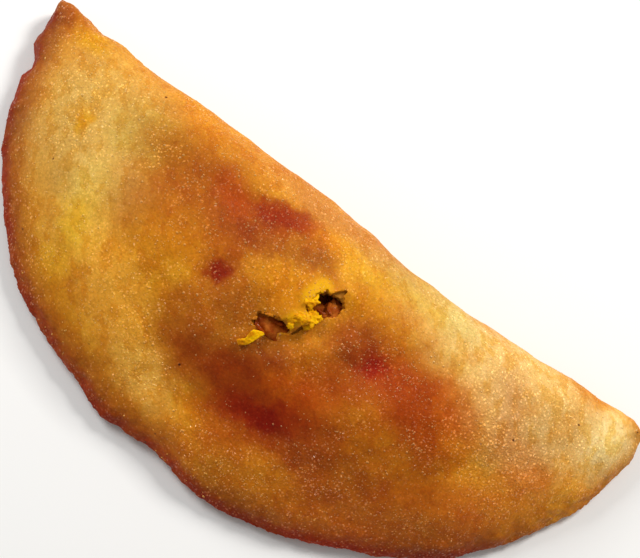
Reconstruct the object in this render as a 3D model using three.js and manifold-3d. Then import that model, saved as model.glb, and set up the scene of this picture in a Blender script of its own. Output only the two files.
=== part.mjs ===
// A fried half-moon empanada: a disc of maize dough folded over a meat filling and sealed along its round edge.
// It lies on its flatter side. +X runs along the fold, +Y points to the fold and +Z is up, in millimetres.
// The crust has torn open on top, and the filling shows through the tear.
import * as THREE from "three";
import { mergeVertices } from "three/addons/utils/BufferGeometryUtils.js";
import Module from "manifold-3d";

// The empanada as a whole
const LENGTH = 130; // tip to tip along the fold
const DEPTH = 55.6; // from the fold to the furthest point of the round edge
const HEIGHT = 20; // crest of the mound, before its lumps
const TIP_HEIGHT = 4.2; // thickness of the two tips
const CREST = { curve: 2.2, slope: 1.05 }; // exponents: how the crest falls from the middle to the tips
const SHOULDER = { curve: 2.4, slope: 1.08 }; // and how the mound falls from the crest to the rim
const ROUNDNESS = 2.05; // exponent of the round edge: 2 is a true ellipse
const TIP_ROUND = { left: -0.9, right: 1.2, from: 0.93 }; // the fold dips (+) or rises (-) beyond this station
const LAST_STATION = 0.995; // the skin is closed just short of the tips' exact ends

// The crust
const CRUST = 2.2; // thickness of the dough over the filling
const RIM_HEIGHT = 3.2; // the two layers of dough pressed together
const RIM_WIDTH = 2.6; // how far in from the round edge the mound starts to rise
const RIM_SLOPE = 2.2; // how far the cut edge leans outwards
const RIM_SHARE = { height: 0.9, width: 0.45, slope: 0.3 }; // most the rim may take of the crest and the depth
const RIM_LIFT = 1.2; // how far the rim curls up off the plate
const TIP_LIFT = 1.4; // how far the tips curl up
const TIP_CURL = 0.6; // share of the half length where that curl starts
const FOLD_LIFT = 0.42; // height of the fold's nose, as a share of the thickness there
const FOLD_NOSE = 0.26; // share of the depth that the rounded fold takes up on top
const SOLE_NOSE = 0.16; // and underneath
const SOLE_EDGE = 0.7; // share of the depth where the underside starts to lift
const RELIEF_FADE = { rim: 0.15, tips: 6 }; // share of the depth before the rim, and exponent towards the tips

// The filling and its pocket
const POCKET_REACH = 0.84; // share of the length that holds filling
const POCKET_ENDS = 6; // exponents of the pocket's blunt ends
const POCKET_SIDES = 4; // and of its lens-shaped cross-section
const FOLD_WALL = 3.2; // dough between the pocket and the fold
const SEAL_WIDTH = 8.5; // dough between the pocket and the round edge
const CLEARANCE = 0.4; // gap between the filling and the pocket's wall
const LAST_SECTION = { pocket: 0.835, filling: 0.83 }; // stations where their skins are closed
const STEAM_GAP = { x: 4, y: 8, radius: 9, depth: 2.6 }; // the filling has sunk under the tear

// Where the outline sags inwards in plan: place along it, half length and depth
const FOLD_SAGS = [{ x: 22, reach: 22, depth: 2.1 }];
const EDGE_SAGS = [
  { x: -7, reach: 7, depth: 1.5 },
  { x: -23, reach: 7, depth: 0.9 },
  { x: 44, reach: 8, depth: -0.9 },
  { x: -62.5, reach: 1.6, depth: 2.2 },
];

// How finely each skin is divided: around a cross-section, and along the fold
const CRUST_GRID = { top: 27, sole: 16, columns: 56 };
const POCKET_GRID = { top: 14, sole: 9, columns: 36 };

// Lumps (+) and dents (-) of the top: centre, half length and half width, turn in degrees, and height
const RELIEF = [
  { x: -11, y: 17, long: 13, wide: 3.5, turn: 14, rise: -1.6 }, // crease beside the fold
  { x: -14, y: 3, long: 5, wide: 4, turn: 60, rise: -1.2 }, // hollow left of the dome
  { x: -2, y: 8, long: 8, wide: 6, turn: 20, rise: 1.7 }, // dome over the tear
  { x: 5, y: -11.5, long: 11, wide: 4, turn: 17, rise: -1.8 }, // sag below the tear
  { x: 21, y: -6, long: 8, wide: 5.5, turn: 0, rise: 1.1 }, // lump right of the sag
  { x: 17.5, y: 6, long: 5, wide: 4.5, turn: 70, rise: -1.4 }, // hollow right of the tear
  { x: 38, y: 12, long: 11, wide: 8, turn: 0, rise: 1.2 }, // swell of the right half
  { x: -27, y: 2, long: 10, wide: 9, turn: 0, rise: 1.1 }, // swell of the left half
  { x: -18, y: -15, long: 10, wide: 3.5, turn: -25, rise: 0.8 }, // ridge along the left shoulder
];

// The tear: two ragged holes in a row, each a slit between two ends
const TEARS = [
  { from: [7.0, 13.8], to: [3.4, 5.6], width: 4.8, teeth: 7 },
  { from: [2.9, 2.4], to: [-3.9, -1.8], width: 3.0, teeth: 6 },
];
const TOOTH = { depth: 0.4, turn: 2.6 }; // how far the teeth stick out, and the angle from one to the next
const BLUNTNESS = 0.6; // how quickly a tear opens from its ends
const TEAR_FLOOR = 8; // the cut starts at this height, inside the pocket
const TEAR_TOP = 28; // and ends above the crust

const clamp01 = (value) => Math.min(1, Math.max(0, value));
const quarterRound = (share) => Math.sqrt(1 - (1 - clamp01(share)) ** 2);

// Signed power, so that the round edge can be drawn on both sides of its middle
const signedPower = (value, exponent) =>
  Math.sign(value) * Math.abs(value) ** exponent;

const sagAt = (sags, x) =>
  sags.reduce(
    (sum, sag) =>
      sum + sag.depth * Math.exp(-(((x - sag.x) / sag.reach) ** 2)),
    0,
  );

// Station `along` runs from -1 at the pointed tip to 1 at the rounded one.
function foldPoint(along) {
  const x = (LENGTH / 2) * along;
  const round = along < 0 ? TIP_ROUND.left : TIP_ROUND.right;
  const toTip = clamp01(
    (Math.abs(along) - TIP_ROUND.from) / (1 - TIP_ROUND.from),
  );
  return [x, DEPTH / 2 - sagAt(FOLD_SAGS, x) - round * toTip ** 2];
}

function arcPoint(along) {
  const angle = (Math.PI / 2) * along;
  const x = (LENGTH / 2) * signedPower(Math.sin(angle), 2 / ROUNDNESS);
  const drop = Math.abs(Math.cos(angle)) ** (2 / ROUNDNESS);
  const end = foldPoint(Math.sign(along))[1];
  const reach = DEPTH / 2 - (DEPTH - sagAt(EDGE_SAGS, x)) * drop;
  return [x, Math.min(end, reach)];
}

// The mound's crest above the plate at a station
function crestHeight(along) {
  const fullness = (1 - Math.abs(along) ** CREST.curve) ** CREST.slope;
  return TIP_HEIGHT + (HEIGHT - TIP_HEIGHT) * fullness;
}

// The sole is truly flat between the tips' curls
const tipLift = (along) =>
  TIP_LIFT * clamp01((Math.abs(along) - TIP_CURL) / (1 - TIP_CURL)) ** 2;

function relief(x, y) {
  return RELIEF.reduce((sum, lump) => {
    const turn = THREE.MathUtils.degToRad(lump.turn);
    const dx = x - lump.x;
    const dy = y - lump.y;
    const along = (dx * Math.cos(turn) + dy * Math.sin(turn)) / lump.long;
    const across = (dy * Math.cos(turn) - dx * Math.sin(turn)) / lump.wide;
    return sum + lump.rise * Math.exp(-(along ** 2) - across ** 2);
  }, 0);
}

// A place on the empanada: station along the fold, and distance from the fold as a share of the depth there
function place(along, share) {
  const [fx, fy] = foldPoint(along);
  const [ax, ay] = arcPoint(along);
  const x = fx + (ax - fx) * share;
  const y = fy + (ay - fy) * share;
  const width = Math.hypot(ax - fx, ay - fy);
  const crest = crestHeight(along);
  const lift = tipLift(along);
  const noseHeight = FOLD_LIFT * crest;
  const rimHeight = Math.min(
    RIM_LIFT + RIM_HEIGHT,
    RIM_SHARE.height * crest,
  );
  const rimShare = 1 - Math.min(RIM_SHARE.width, RIM_WIDTH / width);

  const toRim = clamp01((share - FOLD_NOSE) / (rimShare - FOLD_NOSE));
  const shoulder = (1 - toRim ** SHOULDER.curve) ** SHOULDER.slope;
  const fold =
    noseHeight + (crest - noseHeight) * quarterRound(share / FOLD_NOSE);
  const mound = rimHeight + (crest - rimHeight) * shoulder;
  const fade =
    clamp01(share / FOLD_NOSE) *
    clamp01((rimShare - share) / RELIEF_FADE.rim) *
    (1 - along ** RELIEF_FADE.tips);
  const top = (share < FOLD_NOSE ? fold : mound) + relief(x, y) * fade;

  const sole = noseHeight * (1 - quarterRound(share / SOLE_NOSE));
  const curl = RIM_LIFT * clamp01((share - SOLE_EDGE) / (1 - SOLE_EDGE)) ** 2;
  return { x, y, width, top: top + lift, bottom: sole + curl + lift };
}

// The outer skin's cross-section at a station: over the top from fold to rim, down the cut edge, back underneath
function crustSection(along) {
  const { top, sole } = CRUST_GRID;
  const { width } = place(along, 0);
  const rimTop = 1 - Math.min(RIM_SHARE.slope, RIM_SLOPE / width);
  const ring = [];
  for (let i = 0; i < top; i++) {
    const share = rimTop * (1 - Math.cos((Math.PI / 2) * (i / (top - 1)))); // finer near the fold
    const spot = place(along, share);
    ring.push([spot.x, spot.y, i ? spot.top : (spot.top + spot.bottom) / 2]);
  }
  for (let i = 0; i < sole; i++) {
    const share = (1 + Math.cos(Math.PI * (i / sole))) / 2; // finer at both edges
    const spot = place(along, share);
    ring.push([spot.x, spot.y, spot.bottom]);
  }
  return ring;
}

// A cross-section of the pocket, or of the filling when it is taken in by the clearance
function pocketSection(along, clearance) {
  const reach = POCKET_REACH - clearance / LENGTH;
  const ends = Math.sqrt(
    1 - clamp01(Math.abs(along) / reach) ** POCKET_ENDS,
  );
  const { width } = place(along, 0);
  const near = (FOLD_WALL + clearance) / width;
  const far = 1 - (SEAL_WIDTH + clearance) / width;
  const skin = CRUST + clearance;
  const at = (share, upper) => {
    const spot = place(along, near + (far - near) * share);
    const middle = (spot.top + spot.bottom) / 2;
    const room = Math.max(0, (spot.top - spot.bottom) / 2 - skin);
    const lens =
      room * ends * Math.sqrt(1 - Math.abs(2 * share - 1) ** POCKET_SIDES);
    const sunk =
      clearance && upper
        ? STEAM_GAP.depth *
          Math.exp(
            -(
              ((spot.x - STEAM_GAP.x) ** 2 + (spot.y - STEAM_GAP.y) ** 2) /
              STEAM_GAP.radius ** 2
            ),
          )
        : 0;
    return [spot.x, spot.y, middle + (upper ? lens : -lens) - sunk];
  };
  const ring = [];
  for (let i = 0; i < POCKET_GRID.top; i++)
    ring.push(at(i / POCKET_GRID.top, true));
  for (let i = 0; i < POCKET_GRID.sole; i++)
    ring.push(at(1 - i / POCKET_GRID.sole, false));
  return ring;
}

// Joins rings of points into one closed skin, with a fan over each end
function loft(rings) {
  const count = rings[0].length;
  const points = rings.flat();
  const faces = [];
  for (let r = 0; r + 1 < rings.length; r++)
    for (let i = 0; i < count; i++) {
      const a = r * count + i;
      const b = r * count + ((i + 1) % count);
      faces.push(a, b, b + count, a, b + count, a + count);
    }
  for (const last of [0, rings.length - 1]) {
    const ring = rings[last];
    const centre = points.length;
    points.push(
      [0, 1, 2].map((k) => ring.reduce((sum, p) => sum + p[k], 0) / count),
    );
    for (let i = 0; i < count; i++) {
      const a = last * count + i;
      const b = last * count + ((i + 1) % count);
      faces.push(...(last ? [a, b, centre] : [b, a, centre]));
    }
  }
  const geometry = new THREE.BufferGeometry();
  geometry.setAttribute(
    "position",
    new THREE.Float32BufferAttribute(points.flat(), 3),
  );
  geometry.setIndex(faces);
  return geometry;
}

// Stations from one end to the other, closer together towards the tips
function stations(count, reach) {
  return Array.from({ length: count }, (_, i) => {
    const even = (2 * i) / (count - 1) - 1;
    return reach * Math.sin((Math.PI / 2) * (0.75 * even + 0.25 * even ** 3));
  });
}

// A ragged slit in plan, as a prism that reaches from the pocket out through the crust
function tearPrism({ from, to, width, teeth }) {
  const start = new THREE.Vector2(...from);
  const end = new THREE.Vector2(...to);
  const along = end.clone().sub(start);
  const across = new THREE.Vector2(-along.y, along.x).normalize();
  const side = (direction) =>
    Array.from({ length: teeth }, (_, i) => {
      const share = (i + 0.5) / teeth;
      const jag = 1 + TOOTH.depth * Math.sin(TOOTH.turn * i + direction);
      const half = (width / 2) * Math.sin(Math.PI * share) ** BLUNTNESS * jag;
      return start
        .clone()
        .addScaledVector(along, share)
        .addScaledVector(across, direction * half);
    });
  const outline = new THREE.Shape([start, ...side(-1), end, ...side(1).reverse()]);
  return new THREE.ExtrudeGeometry(outline, {
    depth: TEAR_TOP - TEAR_FLOOR,
    bevelEnabled: false,
  }).translate(0, 0, TEAR_FLOOR);
}

const wasm = await Module();
wasm.setup();

function solidFrom(geometry) {
  const bare = geometry.clone();
  bare.deleteAttribute("normal");
  bare.deleteAttribute("uv");
  const merged = mergeVertices(bare, 1e-4);
  return new wasm.Manifold(
    new wasm.Mesh({
      numProp: 3,
      vertProperties: merged.attributes.position.array,
      triVerts: new Uint32Array(merged.index.array),
    }),
  );
}

function meshFrom(solid, name, finish) {
  const { vertProperties, triVerts } = solid.getMesh();
  const geometry = new THREE.BufferGeometry();
  geometry.setAttribute(
    "position",
    new THREE.Float32BufferAttribute(vertProperties, 3),
  );
  geometry.setIndex(Array.from(triVerts));
  geometry.computeVertexNormals();
  const mesh = new THREE.Mesh(geometry, new THREE.MeshStandardMaterial(finish));
  mesh.name = name;
  return mesh;
}

const skin = solidFrom(
  loft(stations(CRUST_GRID.columns, LAST_STATION).map(crustSection)),
);
const pocket = solidFrom(
  loft(
    stations(POCKET_GRID.columns, LAST_SECTION.pocket).map((along) =>
      pocketSection(along, 0),
    ),
  ),
);
const filling = solidFrom(
  loft(
    stations(POCKET_GRID.columns, LAST_SECTION.filling).map((along) =>
      pocketSection(along, CLEARANCE),
    ),
  ),
);
const torn = TEARS.reduce(
  (body, tear) => body.subtract(solidFrom(tearPrism(tear))),
  skin.subtract(pocket),
);

const empanada = new THREE.Group();
empanada.add(
  meshFrom(torn, "crust", { color: 0xc98a2b, roughness: 0.45, metalness: 0 }),
  meshFrom(filling, "filling", {
    color: 0x6b3216,
    roughness: 0.6,
    metalness: 0,
  }),
);

// The origin is under the middle of the empanada's box, on the plate
const box = new THREE.Box3().setFromObject(empanada);
const middle = box.getCenter(new THREE.Vector3());
empanada.children.forEach((mesh) =>
  mesh.position.set(-middle.x, -middle.y, -box.min.z),
);

export default empanada;
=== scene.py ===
# %% [markdown]
# # A fried empanada
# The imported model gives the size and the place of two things: a shell of maize dough and the meat inside
# it. This lesson makes their looks. The crust gets its blisters, its browned cut edge and its tear, the
# meat gets its shreds, and a few torn scraps of dough lie round the hole. Everything is in metres and
# nothing is moved.

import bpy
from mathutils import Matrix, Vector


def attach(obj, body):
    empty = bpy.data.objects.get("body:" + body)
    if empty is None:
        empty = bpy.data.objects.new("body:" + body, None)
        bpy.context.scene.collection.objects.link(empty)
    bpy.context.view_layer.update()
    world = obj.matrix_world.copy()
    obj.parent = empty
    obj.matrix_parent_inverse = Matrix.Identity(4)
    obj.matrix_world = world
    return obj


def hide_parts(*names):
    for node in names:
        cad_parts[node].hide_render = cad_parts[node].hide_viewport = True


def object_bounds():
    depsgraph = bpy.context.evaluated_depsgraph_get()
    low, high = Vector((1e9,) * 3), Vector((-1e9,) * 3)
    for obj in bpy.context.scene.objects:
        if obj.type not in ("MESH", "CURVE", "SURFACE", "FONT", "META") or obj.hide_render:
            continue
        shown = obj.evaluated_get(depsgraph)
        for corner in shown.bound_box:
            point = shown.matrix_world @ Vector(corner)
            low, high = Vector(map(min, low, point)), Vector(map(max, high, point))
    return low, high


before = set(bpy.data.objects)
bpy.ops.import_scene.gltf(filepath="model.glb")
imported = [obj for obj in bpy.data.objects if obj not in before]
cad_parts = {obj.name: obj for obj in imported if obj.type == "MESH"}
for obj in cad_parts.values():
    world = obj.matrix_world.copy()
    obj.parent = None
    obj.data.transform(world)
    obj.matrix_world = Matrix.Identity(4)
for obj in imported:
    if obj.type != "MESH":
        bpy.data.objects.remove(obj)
cad_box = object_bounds()
print("packed box in mm:", [[round(v * 1000, 1) for v in corner] for corner in cad_box])

# %% [markdown]
# ## Tools for the bench
# An operator works on whatever is selected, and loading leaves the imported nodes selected. So every step
# first picks its one piece. These helpers do that, apply modifiers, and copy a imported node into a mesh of
# its own. Points and normals are read into arrays, because a loop over a hundred thousand points would be
# slow.

# %% Helpers for picking, copying and applying
import math
import random

import bpy
import numpy as np
from mathutils import Euler, Matrix, Vector
from mathutils.bvhtree import BVHTree
from mathutils.noise import fractal

MM = 0.001  # the scene is in metres, and most sizes below are said in millimetres
chance = random.Random(7)  # every chance draw starts from a fixed seed, so each run is the same


def pick(*pieces):
    """Selects these pieces alone and makes the first one active."""
    bpy.ops.object.select_all(action="DESELECT")
    for piece in pieces:
        piece.select_set(True)
    bpy.context.view_layer.objects.active = pieces[0]
    return pieces[0]


def copy_node(node, name):
    """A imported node's shape in a new object, with its loose triangles joined up."""
    piece = bpy.data.objects.new(name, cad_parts[node].data.copy())
    piece.data.materials.clear()
    bpy.context.collection.objects.link(piece)
    pick(piece)
    bpy.ops.object.mode_set(mode="EDIT")
    bpy.ops.mesh.select_all(action="SELECT")
    bpy.ops.mesh.remove_doubles(threshold=0.005 * MM)
    bpy.ops.object.mode_set(mode="OBJECT")
    return piece


def apply(piece, kind, **settings):
    """Adds one modifier, sets it and applies it at once."""
    pick(piece)
    modifier = piece.modifiers.new(kind.title(), kind)
    for key, value in settings.items():
        setattr(modifier, key, value)
    bpy.ops.object.modifier_apply(modifier=modifier.name)


def join(pieces, name):
    """Makes one named piece of several."""
    pick(*pieces)
    bpy.ops.object.join()
    pieces[0].name = pieces[0].data.name = name
    return pieces[0]


def edit_faces(piece, test):
    """Goes into edit mode with just the faces picked that pass the test."""
    pick(piece)
    bpy.ops.object.mode_set(mode="EDIT")
    bpy.ops.mesh.select_mode(type="FACE")
    bpy.ops.mesh.select_all(action="DESELECT")
    bpy.ops.object.mode_set(mode="OBJECT")
    for face in piece.data.polygons:
        face.select = test(face)
    bpy.ops.object.mode_set(mode="EDIT")


def points_of(piece):
    """All the points of a piece, a row of x, y and z for each."""
    flat = np.empty(len(piece.data.vertices) * 3)
    piece.data.vertices.foreach_get("co", flat)
    return flat.reshape(-1, 3)


def normals_of(piece):
    flat = np.empty(len(piece.data.vertices) * 3)
    piece.data.vertex_normals.foreach_get("vector", flat)
    return flat.reshape(-1, 3)


def triangles(piece):
    return sum(len(face.vertices) - 2 for face in piece.data.polygons)


# %% [markdown]
# ## The crust's outer skin
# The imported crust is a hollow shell: an outer skin, a pocket inside, and the walls of the tear between
# them. The fine work wants the outer skin alone, whole and smooth. It could be modelled afresh from a half
# disc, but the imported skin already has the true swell. The pocket's faces look towards the filling, so a
# test on each face's nearest point of filling finds them. They are deleted with the walls of the tear, and
# the hole is closed. Subdivision rounds off the facets, and a voxel remesh spreads small even squares over
# the whole skin.

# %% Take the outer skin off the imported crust
skin = copy_node("crust", "crust_skin")
stuffing = copy_node("filling", "filling_core")
stuffing_tree = BVHTree.FromPolygons(
    [v.co for v in stuffing.data.vertices], [p.vertices for p in stuffing.data.polygons]
)


def looks_inwards(face):
    """Finds the faces of the pocket: the filling is close, and they face it."""
    nearest = stuffing_tree.find_nearest(face.center)[0]
    gap = nearest - face.center
    return gap.length < 6 * MM and gap.normalized().dot(face.normal) > 0.2


TEAR_MIDDLE, TEAR_HALF, TEAR_FLOOR = (2, 6), (7.5, 10), 14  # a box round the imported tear, in millimetres


def near_tear(face):
    """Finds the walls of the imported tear, which ragged plugs will cut anew."""
    in_plan = all(abs(face.center[i] - TEAR_MIDDLE[i] * MM) < TEAR_HALF[i] * MM for i in range(2))
    return in_plan and face.center.z > TEAR_FLOOR * MM and face.normal.z < 0.6


edit_faces(skin, lambda face: looks_inwards(face) or near_tear(face))
bpy.ops.mesh.delete(type="FACE")
bpy.ops.mesh.select_all(action="SELECT")
bpy.ops.mesh.delete_loose()
bpy.ops.mesh.select_mode(type="EDGE")
bpy.ops.mesh.select_all(action="DESELECT")
bpy.ops.mesh.select_non_manifold()
bpy.ops.mesh.fill(use_beauty=True)
bpy.ops.mesh.select_all(action="SELECT")
bpy.ops.mesh.tris_convert_to_quads(face_threshold=0.7, shape_threshold=0.7)
bpy.ops.mesh.normals_make_consistent(inside=False)
bpy.ops.object.mode_set(mode="OBJECT")
print("outer skin:", len(skin.data.polygons), "faces")

# %% Round off the facets and lay an even grid over the skin
GRID = 0.44 * MM  # the side of a square: small enough for a blister
apply(skin, "SUBSURF", levels=2, render_levels=2)
apply(skin, "REMESH", mode="VOXEL", voxel_size=GRID, adaptivity=0.0, use_smooth_shade=True)
apply(skin, "SMOOTH", factor=0.5, iterations=6)
print("even skin:", triangles(skin), "triangles")

# %% [markdown]
# ## Maps of the crust
# The cut edge crumbles and browns, so several steps need to know how far a point lies inside it. The
# outline seen from above tells. It is the furthest point in each direction from the middle of the fold,
# evened a little, and only its round half counts, from tip to tip. The distance to that line is measured
# straight to the nearest place on it, because a gap measured along the direction alone runs wrong near the
# tips. The outline is read now for the crumbling and once more, later, for the browning, when it has been
# pressed.

# %% Measure the outline from above
fold_middle = np.array([0.0, cad_box[1].y - 3 * MM])
DIRECTIONS, LINE_POINTS = 360, 900  # how finely the outline is read and drawn


def polar(points):
    """The direction and the distance of each point from the middle of the fold, seen from above."""
    away = points[:, :2] - fold_middle
    return np.arctan2(away[:, 1], away[:, 0]), np.hypot(away[:, 0], away[:, 1])


def outline_of(points, evened=6):
    """Bearings of the round cut edge, from tip to tip, and how far out it runs in each."""
    bearing, reach = polar(points)
    steps = np.linspace(-math.pi, math.pi, DIRECTIONS + 1)
    bins = np.digitize(bearing, steps)
    rim = [reach[bins == i].max() if (bins == i).any() else 0 for i in range(1, DIRECTIONS + 1)]
    rim = np.array(rim)
    for _ in range(evened):
        rim = (np.roll(rim, 1) + 2 * rim + np.roll(rim, -1)) / 4
    fine = np.linspace(-math.pi, 0, LINE_POINTS)
    return fine, np.interp(fine, (steps[:-1] + steps[1:]) / 2, rim, period=2 * math.pi)


def from_edge(points, outline):
    """How far each point lies inside the round cut edge, seen from above, in millimetres."""
    line_bearing, line_reach = outline
    line = fold_middle + line_reach[:, None] * np.stack([np.cos(line_bearing), np.sin(line_bearing)], 1)
    gaps = []
    for part in np.array_split(points[:, :2], 40):  # a part at a time, as all at once fills the memory
        gaps.append(np.sqrt(((part[:, None] - line[None]) ** 2).sum(2).min(1)))
    bearing, reach = polar(points)
    beyond = (bearing < 0) & (reach > np.interp(bearing, line_bearing, line_reach))
    return np.where(beyond, 0.0, np.concatenate(gaps)) / MM


outline = outline_of(points_of(skin))
print("outline: widest", round(outline[1].max() / MM, 1), "mm from the middle of the fold")


# %% Turn measures into weights
def smooth_step(low, high, values):
    """0 up to one value, 1 beyond another, and an easy slope between them."""
    share = np.clip((values - low) / (high - low), 0, 1)
    return share * share * (3 - 2 * share)


def weigh(piece, name, weights):
    """Stores one weight for each point as a vertex group, in twenty steps."""
    group = piece.vertex_groups.new(name=name)
    levels = np.round(weights * 20).astype(int)
    for level in range(1, 21):
        group.add(np.nonzero(levels == level)[0].tolist(), level / 20, "REPLACE")


# %% [markdown]
# ## Lumps, blisters and a crumbly edge
# Frying lifts the dough in soft lumps and small blisters, and the pressed edge crumbles. They could be
# sculpted one by one, but so many small ones are better left to chance. Displace modifiers move the points
# along their normals by a noise of the right size. A vertex group keeps the crumbly noise on the edge and
# the blisters on top, away from the smooth underside that lay on the pan.

# %% Two helpers that push a skin in and out with noise
def noise(name, size, depth=2):
    texture = bpy.data.textures.new(name, "CLOUDS")
    texture.noise_scale = size
    texture.noise_depth = depth
    return texture


def displace(piece, texture, strength, group="", middle=0.5):
    apply(
        piece,
        "DISPLACE",
        texture=texture,
        texture_coords="LOCAL",
        strength=strength,
        mid_level=middle,
        vertex_group=group,
    )


# %% Lump the top and crumble the edge
points, normals = points_of(skin), normals_of(skin)
inside = from_edge(points, outline)
below_fold = cad_box[1].y / MM - points[:, 1] / MM
by_pointed_tip = smooth_step(-42, -50, points[:, 0] / MM)
crumbly = np.maximum(1 - smooth_step(1.5, 4.0, inside), smooth_step(3.5, 1.5, below_fold) * by_pointed_tip)
weigh(skin, "edge", crumbly)
weigh(skin, "upper", smooth_step(-0.2, 0.4, normals[:, 2]))
displace(skin, noise("soft lumps", 9 * MM), 0.9 * MM, "upper")
displace(skin, noise("blisters", 3.6 * MM, 1), 0.16 * MM, "upper")
displace(skin, noise("waves of the edge", 6 * MM, 1), 0.7 * MM, "edge")
displace(skin, noise("crumbs of the edge", 1.6 * MM, 2), 0.6 * MM, "edge")
displace(skin, noise("meal", 1.0 * MM, 1), 0.06 * MM)
print("skin displaced, box in mm:", [round(v / MM, 1) for v in points_of(skin).max(0)])

# %% [markdown]
# ## An uneven outline
# No hand folds a perfect half moon. Proportional editing moves a few picked points and lets their
# neighbours follow less and less, as a finger would press soft dough. It draws out the pointed tip, nips
# the edge beside it, and fills out or flattens the round edge and the fold. A lattice would bend the whole
# shape at once, but here each fault of the hand has its own place.

# %% A finger that presses dough
def press(piece, places, reach, push, near_by=0.9):
    """Moves the points near some places, and their neighbours within reach, less and less with them."""
    pick(piece)
    points = points_of(piece)
    near = np.zeros(len(points), bool)
    for place in places:
        near |= np.linalg.norm(points - np.array(place) * MM, axis=1) < near_by * MM
    bpy.ops.object.mode_set(mode="EDIT")
    bpy.ops.mesh.select_mode(type="VERT")
    bpy.ops.mesh.select_all(action="DESELECT")
    bpy.ops.object.mode_set(mode="OBJECT")
    piece.data.vertices.foreach_set("select", near)
    bpy.ops.object.mode_set(mode="EDIT")
    bpy.ops.transform.translate(
        value=[v * MM for v in push],
        use_proportional_edit=True,
        use_proportional_connected=True,
        proportional_edit_falloff="SMOOTH",
        proportional_size=reach * MM,
    )
    bpy.ops.object.mode_set(mode="OBJECT")
    print("pressed", int(near.sum()), "points by", push)


# %% Press the outline into shape
press(skin, [(-64.3, 27, 4), (-64, 22, 3)], 4.5, (-1.0, 0.5, 0), 2)  # the pointed tip
press(skin, [(-61.5, 10.5, 2.5)], 4, (-0.5, -0.1, 0), 2)  # shoulder below it
press(skin, [(-64, 16.8, 3)], 2.4, (0.8, 0, 0), 1.3)  # nip between the two
press(skin, [(-54, 28, 5), (-60, 28, 5)], 8, (0, 0.8, 0), 2.5)  # fold near the tip
press(skin, [(-61, 28, 4)], 4, (0, 0.9, 0), 2)
press(skin, [(-41, -16, 2)], 6, (-0.2, -0.4, 0), 2)  # bulges of the round edge
press(skin, [(-17, -26, 2)], 5, (-0.1, -0.4, 0), 2)
press(skin, [(-3, -27, 2)], 5, (0, 0.6, 0), 2)  # flat spot beside it
press(skin, [(33, -21, 2), (38, -18, 2)], 10, (-0.3, 0.8, 0), 3)  # long flat spot
press(skin, [(63, 13, 2.5), (64.6, 19, 3)], 7, (0.8, -0.1, 0), 2)  # bulge of the rounded end
press(skin, [(62, 26, 5), (56, 27, 5), (50, 27.5, 6)], 8, (0, 0.9, 0), 2)  # fold at the rounded end
press(skin, [(60, 28, 4)], 5, (0.4, 0.7, 0), 2)
press(skin, [(65, 27.3, 3)], 2.5, (-0.8, 0, 0), 1.2)  # its corner, taken back
press(skin, [(64.6, 24, 3)], 3.5, (0.4, 0, 0), 1.5)
press(skin, [(12, 27.5, 6), (11, 27, 9)], 7, (0, -0.8, 0), 2)  # sag of the fold
press(skin, [(-15, 28, 6)], 8, (0, -0.4, 0), 2)
press(skin, [(38, 27, 6)], 10, (0, 0.4, 0), 3)  # and its rise towards the rounded end

# %% [markdown]
# ## The pocket and the tear
# The crust is about two millimetres thick over the meat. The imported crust's own inner faces, closed up
# again, are the exact shape of the pocket, so they serve as a cutter. A Solidify modifier would be quicker,
# but it gives one thickness all over. The tear is cut by ragged plugs: a cylinder squashed to an oval, with
# noise pushed into its wall. Boolean modifiers take them all out of the skin.

# %% Close the pocket's faces into a cutter
pocket = copy_node("crust", "pocket")
edit_faces(pocket, lambda face: not looks_inwards(face))
bpy.ops.mesh.delete(type="FACE")
bpy.ops.mesh.select_all(action="SELECT")
bpy.ops.mesh.delete_loose()
bpy.ops.mesh.select_mode(type="EDGE")
bpy.ops.mesh.select_all(action="DESELECT")
bpy.ops.mesh.select_non_manifold()
bpy.ops.mesh.fill(use_beauty=True)
bpy.ops.mesh.select_all(action="SELECT")
bpy.ops.mesh.normals_make_consistent(inside=False)
bpy.ops.object.mode_set(mode="OBJECT")
print("pocket:", len(pocket.data.polygons), "faces")

# %% Make a ragged plug for each hole of the tear and for the slits beside them
TEARS = [  # middle, half length, half width and turn in plan, height of the bottom, depth of the rips
    {"middle": (4.3, 8.3), "long": 3.2, "wide": 2.4, "turn": 48, "low": 12, "rips": 1.8},
    {"middle": (4.8, 10.9), "long": 2.0, "wide": 0.6, "turn": 62, "low": 19.7, "rips": 0.6},
    {"middle": (-0.9, 0.7), "long": 3.3, "wide": 1.4, "turn": 22, "low": 12, "rips": 1.6},
    {"middle": (3.6, 3.4), "long": 2.4, "wide": 0.5, "turn": 64, "low": 19.0, "rips": 0.6},
]


def ragged_plug(tear, high=26):
    """An upright oval plug with a torn-looking wall, that reaches up out of the crust."""
    low = tear["low"]
    x, y = tear["middle"]
    bpy.ops.object.select_all(action="DESELECT")
    bpy.ops.mesh.primitive_cylinder_add(vertices=64, radius=MM, depth=(high - low) * MM, location=(0, 0, 0))
    plug = bpy.context.object
    bpy.ops.object.mode_set(mode="EDIT")
    bpy.ops.transform.resize(value=(tear["long"], tear["wide"], 1))
    bpy.ops.object.mode_set(mode="OBJECT")
    plug.data.transform(
        Matrix.Translation((x * MM, y * MM, (high + low) / 2 * MM))
        @ Matrix.Rotation(math.radians(tear["turn"]), 4, "Z")
    )
    apply(plug, "REMESH", mode="VOXEL", voxel_size=0.22 * MM, adaptivity=0.0)
    displace(plug, noise("rips", 1.0 * MM, 3), tear["rips"] * MM)
    return plug


plugs = [ragged_plug(tear) for tear in TEARS]
print("plugs:", [triangles(plug) for plug in plugs], "triangles")

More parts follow.
